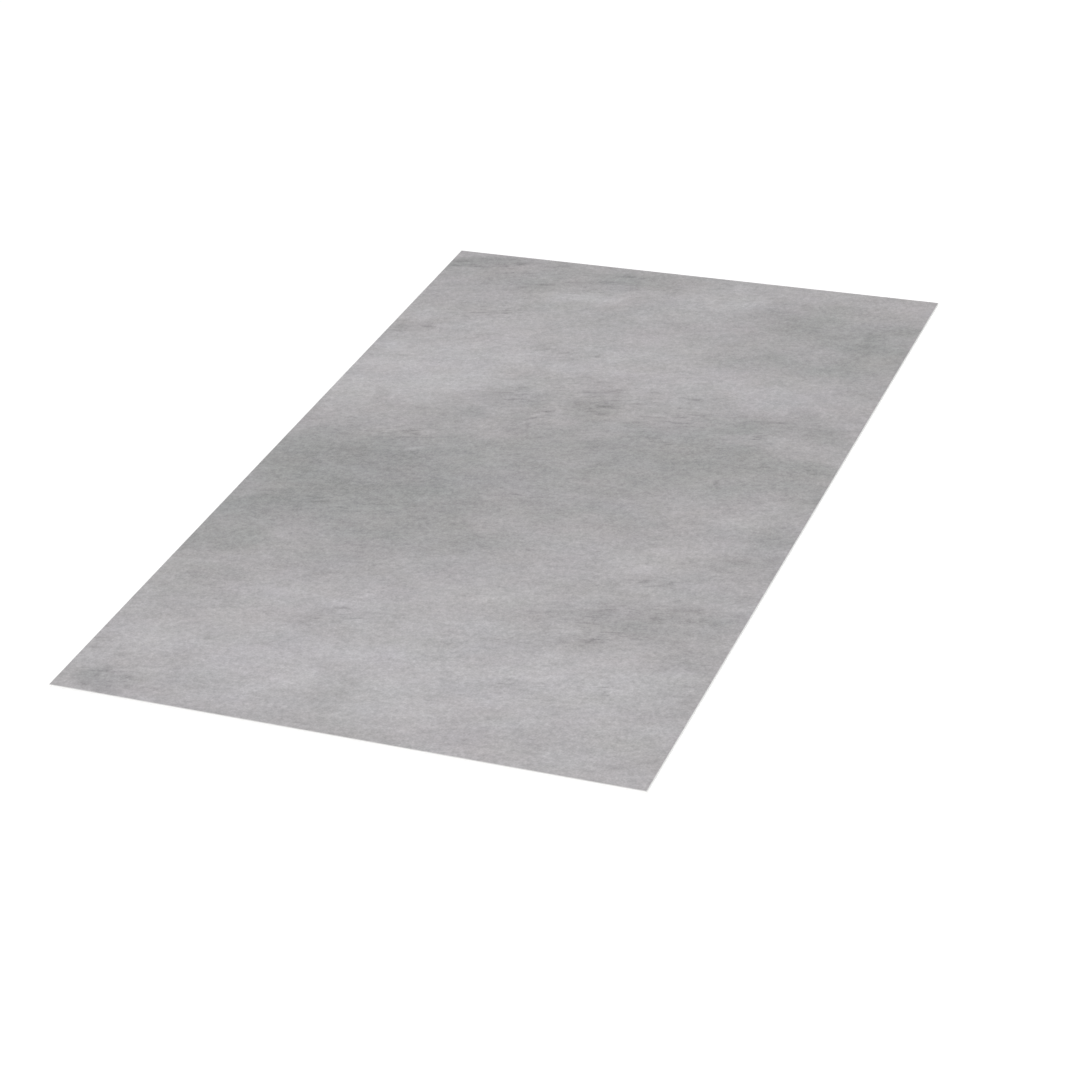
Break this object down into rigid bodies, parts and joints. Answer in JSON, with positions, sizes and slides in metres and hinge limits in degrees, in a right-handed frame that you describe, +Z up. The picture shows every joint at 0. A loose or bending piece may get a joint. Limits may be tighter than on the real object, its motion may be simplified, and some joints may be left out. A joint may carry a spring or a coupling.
{
  "type": "glue-down vinyl floor tile",
  "caption": "Thin rectangular glue-down vinyl floor tile with a pale grey concrete-look wear face, a fine edge bevel and a flat glue face.",
  "frame": {"origin": "middle of the flat glue face, which lies on the floor", "axes": "+X along the short side, +Y along the long side, +Z up out of the wear face"},
  "size_m": [0.4572, 0.762, 0.0025],
  "materials": {
    "vinyl": "satin"
  },
  "bodies": {
    "root": {"vinyl_tile": "vinyl"}
  },
  "joints": []
}
